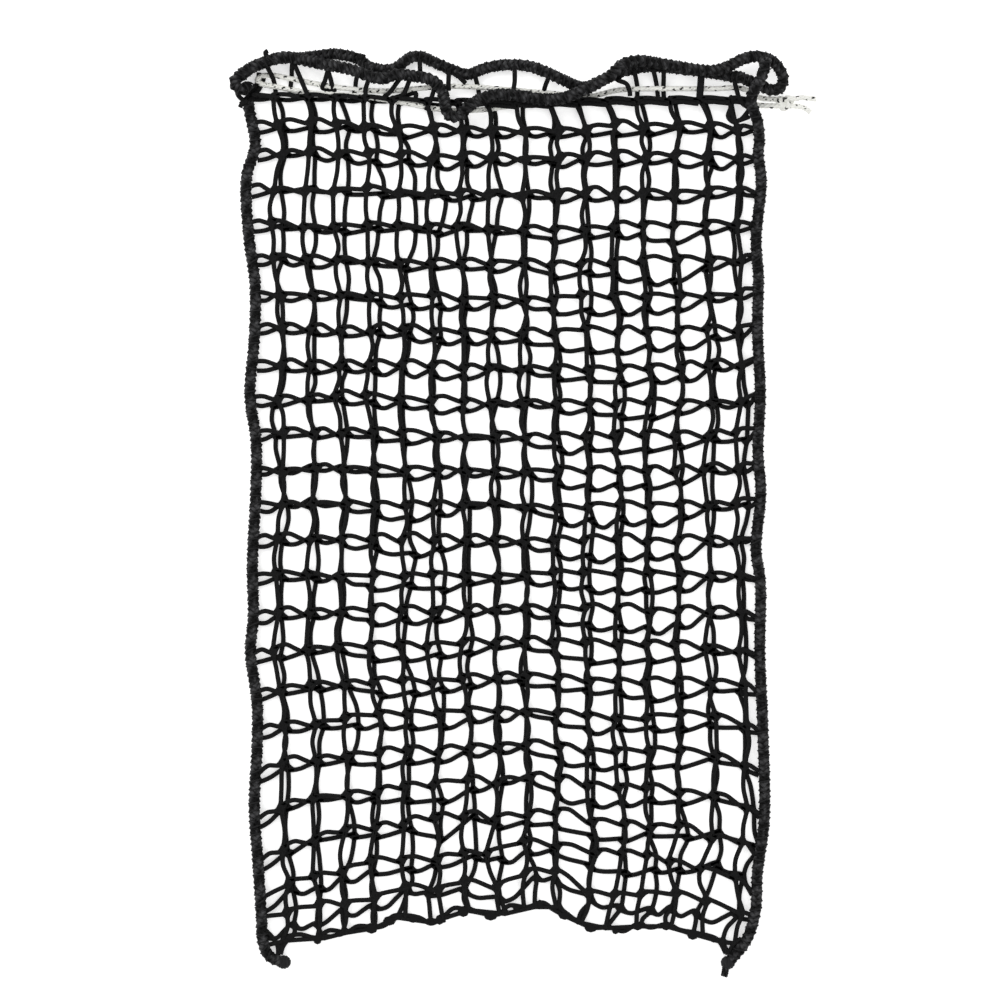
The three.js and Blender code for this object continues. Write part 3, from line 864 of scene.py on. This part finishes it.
def rope_piece(name, route):
    """A border or mouth rope along a route"""
    radius = sizes().rope / 2
    path = smooth_path(in_metres(route), PATH_STEP)
    rope = shared("charcoal_rope", braided_rope)
    return braid_piece(name, [path], radius, 0.33 * radius, 0.14 * radius, 0.023, 0.0013, rope, 4, 6)


def follow_the_pull(piece):
    """Bakes the piece's placement into its mesh, so that it stays where it lies"""
    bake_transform(piece)


# ---------------------------------------------------------------- operators


class HAYNET_OT_camera(bpy.types.Operator):
    """Set a camera straight above the net"""

    bl_idname = "haynet.camera"
    bl_label = "Camera"

    def execute(self, context):
        middle = (cad_low[1] + cad_high[1]) / 2
        lens = bpy.data.cameras.new("camera")
        lens.lens = 100
        lens.sensor_width = 36
        camera = bpy.data.objects.new("camera", lens)
        field = 1.053
        aside, ahead = -0.0084, 0.0128
        camera.location = (aside, middle + ahead, field * lens.lens / lens.sensor_width)
        context.collection.objects.link(camera)
        context.scene.camera = camera
        return {"FINISHED"}


class HAYNET_OT_drawstring(bpy.types.Operator):
    """Braid the drawstring, with its knot and both tails"""

    bl_idname = "haynet.drawstring"
    bl_label = "Drawstring"

    def execute(self, context):
        radius = sizes().cord / 2
        yarn = shared("white_tracer_cord", tracer_cord)
        route = [*reversed(UPPER_TAIL), *DRAWSTRING, *LOWER_TAIL]
        path = smooth_path(in_metres(route), PATH_STEP)
        shape = (radius, 0.4 * radius, 0.06 * radius, 0.02, 0.0008, yarn, 4, 6)
        cord = braid_piece("drawstring_cord", [path], *shape)
        knot = braid_piece("drawstring_overhand_knot", [self.knot_path()], *shape)
        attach(cord, CORD_BODY)
        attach(knot, CORD_BODY)
        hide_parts("drawstring", "drawstring_tail_upper", "drawstring_tail_lower")
        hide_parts("drawstring_knot")
        return {"FINISHED"}

    def knot_path(self):
        """The turns of the overhand knot, round the two runs of cord"""
        points = []
        steps = 40
        width, depth, height = 2.75, 2.2, 2.6
        for n in range(steps + 1):
            t = 2 * math.pi * n / steps
            x = width * (math.sin(t) + 2 * math.sin(2 * t))
            y = depth * (math.cos(t) - 2 * math.cos(2 * t))
            z = -height * math.sin(3 * t)
            points.append(Vector((KNOT_CENTRE[0] + x, KNOT_CENTRE[1] + y, KNOT_CENTRE[2] + z)) * MM)
        return points


class HAYNET_OT_panels(bpy.types.Operator):
    """Net both panels and the fold that joins them"""

    bl_idname = "haynet.panels"
    bl_label = "Net Panels"

    def execute(self, context):
        for side, front in (("front", True), ("back", False)):
            strands, corners, joins = net_strands(Panel(front))
            netting = twine_along(f"net_{side}_strands", strands, sides=6)
            joined = twine_along(f"net_{side}_joins", corners, joins, sides=6)
            for piece in (netting, joined):
                follow_the_pull(piece)
                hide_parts(f"net_{side}")
        path = smooth_path(in_metres(FOLD_TWINE), PATH_STEP)
        luck = random.Random(sizes().seed + 9)
        lumps = []
        for point in path[12:-8:14]:
            hang = Vector((luck.uniform(-4, 4), -luck.uniform(0.5, 4), 0)) * MM
            lumps.append((point + hang, (luck.uniform(1.5, 3.2), luck.uniform(1.4, 2.5), 1.5)))
        ends = [smooth_path(in_metres(route), PATH_STEP) for route in CORNER_TWINE]
        fold = twine_along("fold_twine", [knobbly(line, luck) for line in (path, *ends)], lumps)
        follow_the_pull(fold)
        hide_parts("bottom_fold_twine")
        return {"FINISHED"}


class HAYNET_OT_border_ropes(bpy.types.Operator):
    """Braid the two border ropes"""

    bl_idname = "haynet.border_ropes"
    bl_label = "Border Ropes"

    def execute(self, context):
        for side, route in (("left", LEFT_ROPE), ("right", RIGHT_ROPE)):
            rope = rope_piece(f"border_rope_{side}", route)
            follow_the_pull(rope)
            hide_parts(f"side_rope_{side}")
        return {"FINISHED"}


class HAYNET_OT_mouth_rope(bpy.types.Operator):
    """Braid the rope round the mouth"""

    bl_idname = "haynet.mouth_rope"
    bl_label = "Mouth Rope"

    def execute(self, context):
        for side, route in (("front", FRONT_MOUTH_ROPE), ("back", BACK_MOUTH_ROPE)):
            rope = rope_piece(f"mouth_braid_{side}", route)
            follow_the_pull(rope)
            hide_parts(f"mouth_rope_{side}")
        return {"FINISHED"}


class HAYNET_OT_ties(bpy.types.Operator):
    """Tie the panels' top rows up to the mouth rope"""

    bl_idname = "haynet.ties"
    bl_label = "Mouth Ties"

    def execute(self, context):
        hung = [self.run_into_rope(in_metres(route)) for route in TIES]
        loose = [in_metres(route) for route in STUBS + EDGE_LOOPS]
        paths = [smooth_path(route, 1.6 * MM) for route in hung + loose]
        ties = twine_piece("mouth_ties", paths)
        follow_the_pull(ties)
        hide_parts(*(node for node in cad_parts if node.startswith("mouth_tie_")))
        return {"FINISHED"}

    def run_into_rope(self, route):
        """A tie's route with its first end run on into the rope that it hangs from"""
        return [route[0] + (route[0] - route[1]).normalized() * 4 * MM, *route]


class HAYNET_OT_lacing(bpy.types.Operator):
    """Lace twine round the ropes"""

    bl_idname = "haynet.lacing"
    bl_label = "Lacing"

    def execute(self, context):
        luck = random.Random(sizes().seed + 3)
        for name, routes, spacing in (
            ("border_lacing", (LEFT_ROPE, RIGHT_ROPE), 8.5),
            ("mouth_lacing", (FRONT_MOUTH_ROPE, BACK_MOUTH_ROPE), 6.2),
        ):
            turns = []
            for route in routes:
                turns += self.turns_round(smooth_path(in_metres(route), 1 * MM), spacing * MM, luck)
            lacing = twine_piece(name, turns, sides=5, scale=0.36)
            lacing.data.materials[0] = shared("charcoal_rope", braided_rope)
            follow_the_pull(lacing)
        return {"FINISHED"}

    def turns_round(self, path, spacing, luck):
        """Slanted turns of twine round a rope, one for each spacing along it"""
        turns = []
        travelled, due = 0.0, spacing / 2
        for a, b in zip(path, path[1:]):
            travelled += (b - a).length
            if travelled >= due:
                due += spacing * luck.uniform(0.8, 1.2)
                turns.append(self.turn_round(a, (b - a).normalized(), luck))
        return turns

    def turn_round(self, centre, ahead, luck):
        side = ahead.cross(Vector((0, 0, 1))).normalized()
        up = side.cross(ahead)
        reach = sizes().rope / 2 - 0.0006
        slant = luck.uniform(-0.001, 0.004)
        steps = 16
        ring = []
        for n in range(steps + 1):
            turn = 2 * math.pi * n / steps
            place = centre + side * (reach * math.cos(turn)) + up * (reach * math.sin(turn))
            ring.append(place + ahead * (slant * math.cos(turn)))
        return ring


class HAYNET_OT_rope_ends(bpy.types.Operator):
    """Whip the lower ends of the border ropes"""

    bl_idname = "haynet.rope_ends"
    bl_label = "Rope Ends"

    def execute(self, context):
        for side in ("left", "right"):
            node = f"rope_end_knob_{side}"
            knob = twine_piece(f"whipped_end_{side}", [self.whipping(node)], sides=8, scale=0.9)
            knob.data.materials[0] = shared("charcoal_rope", braided_rope)
            follow_the_pull(knob)
            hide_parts(node)
        low, high = (Vector(corner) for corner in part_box("rope_end_stub"))
        middle = (low + high) / 2
        ends = (middle + Vector((0.001, 0.008, 0)), middle - Vector((0.001, 0.0035, 0)))
        path = smooth_path([ends[0], middle, ends[1]], 1 * MM)
        radius = 0.004
        rope = shared("charcoal_rope", braided_rope)
        stub = braid_piece("cut_rope_end", [path], radius, 0.19 * radius, 0.1 * radius, 0.02, 0.0008, rope)
        follow_the_pull(stub)
        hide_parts("rope_end_stub")
        return {"FINISHED"}

    def whipping(self, node):
        """Twine wound over a rounded rope end, from one side to the other"""
        low, high = (Vector(corner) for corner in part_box(node))
        centre = (low + high) / 2
        thick = sizes().twine * 0.45
        size = (high - low) / 2 - Vector((thick, thick, thick))
        turns = 6
        steps = turns * 24
        path = []
        for n in range(steps + 1):
            share = n / steps
            tilt = math.pi * (0.06 + 0.88 * share)
            turn = 2 * math.pi * turns * share
            ring = math.sin(tilt)
            shares = Vector((-math.cos(tilt), ring * math.cos(turn), ring * math.sin(turn)))
            path.append(centre + shares * size)
        return path


class HAYNET_OT_stage(bpy.types.Operator):
    """Lay the floor and hang the lights"""

    bl_idname = "haynet.stage"
    bl_label = "Stage"

    def execute(self, context):
        mesh = bpy.data.meshes.new("floor")
        half, below = 6.0, -0.0002
        corners = [(-half, -half), (half, -half), (half, half), (-half, half)]
        mesh.from_pydata([(x, y, below) for x, y in corners], [], [(0, 1, 2, 3)])
        mesh.materials.append(pale_floor())
        floor = bpy.data.objects.new("floor", mesh)
        context.collection.objects.link(floor)
        world = bpy.data.worlds.new("sky")
        world.use_nodes = True
        world.node_tree.nodes["Background"].inputs["Color"].default_value = (1.0, 1.0, 1.0, 1.0)
        world.node_tree.nodes["Background"].inputs["Strength"].default_value = 0.65
        context.scene.world = world
        context.scene.view_settings.view_transform = "Standard"
        for name, place, size, power in (
            ("key_light", (-1.6, 1.8, 2.6), 2.2, 55.0),
            ("fill_light", (1.9, -1.2, 2.8), 2.6, 30.0),
        ):
            lamp = bpy.data.lights.new(name, "AREA")
            lamp.size = size
            lamp.energy = power
            light = bpy.data.objects.new(name, lamp)
            light.location = place
            light.rotation_euler = (-Vector(place)).to_track_quat("-Z", "Y").to_euler()
            context.collection.objects.link(light)
        return {"FINISHED"}


OPERATORS = (
    HAYNET_OT_camera,
    HAYNET_OT_drawstring,
    HAYNET_OT_panels,
    HAYNET_OT_border_ropes,
    HAYNET_OT_mouth_rope,
    HAYNET_OT_ties,
    HAYNET_OT_lacing,
    HAYNET_OT_rope_ends,
    HAYNET_OT_stage,
)


class HAYNET_PT_sidebar(bpy.types.Panel):
    """The steps that make the hay net"""

    bl_idname = "HAYNET_PT_sidebar"
    bl_label = "Hay Net"
    bl_space_type = "VIEW_3D"
    bl_region_type = "UI"
    bl_category = "Hay Net"

    def draw(self, context):
        for name in HayNetSizes.__annotations__:
            self.layout.prop(context.scene.hay_net, name)
        for operator in OPERATORS:
            self.layout.operator(operator.bl_idname)


CLASSES = (HayNetSizes, *OPERATORS, HAYNET_PT_sidebar)


def register():
    for item in CLASSES:
        bpy.utils.register_class(item)
    bpy.types.Scene.hay_net = PointerProperty(type=HayNetSizes)


def unregister():
    del bpy.types.Scene.hay_net
    for item in reversed(CLASSES):
        bpy.utils.unregister_class(item)


def main():
    register()
    for operator in OPERATORS:
        step = operator.bl_idname.split(".")[1]
        getattr(bpy.ops.haynet, step)()


if __name__ == "__main__":
    main()
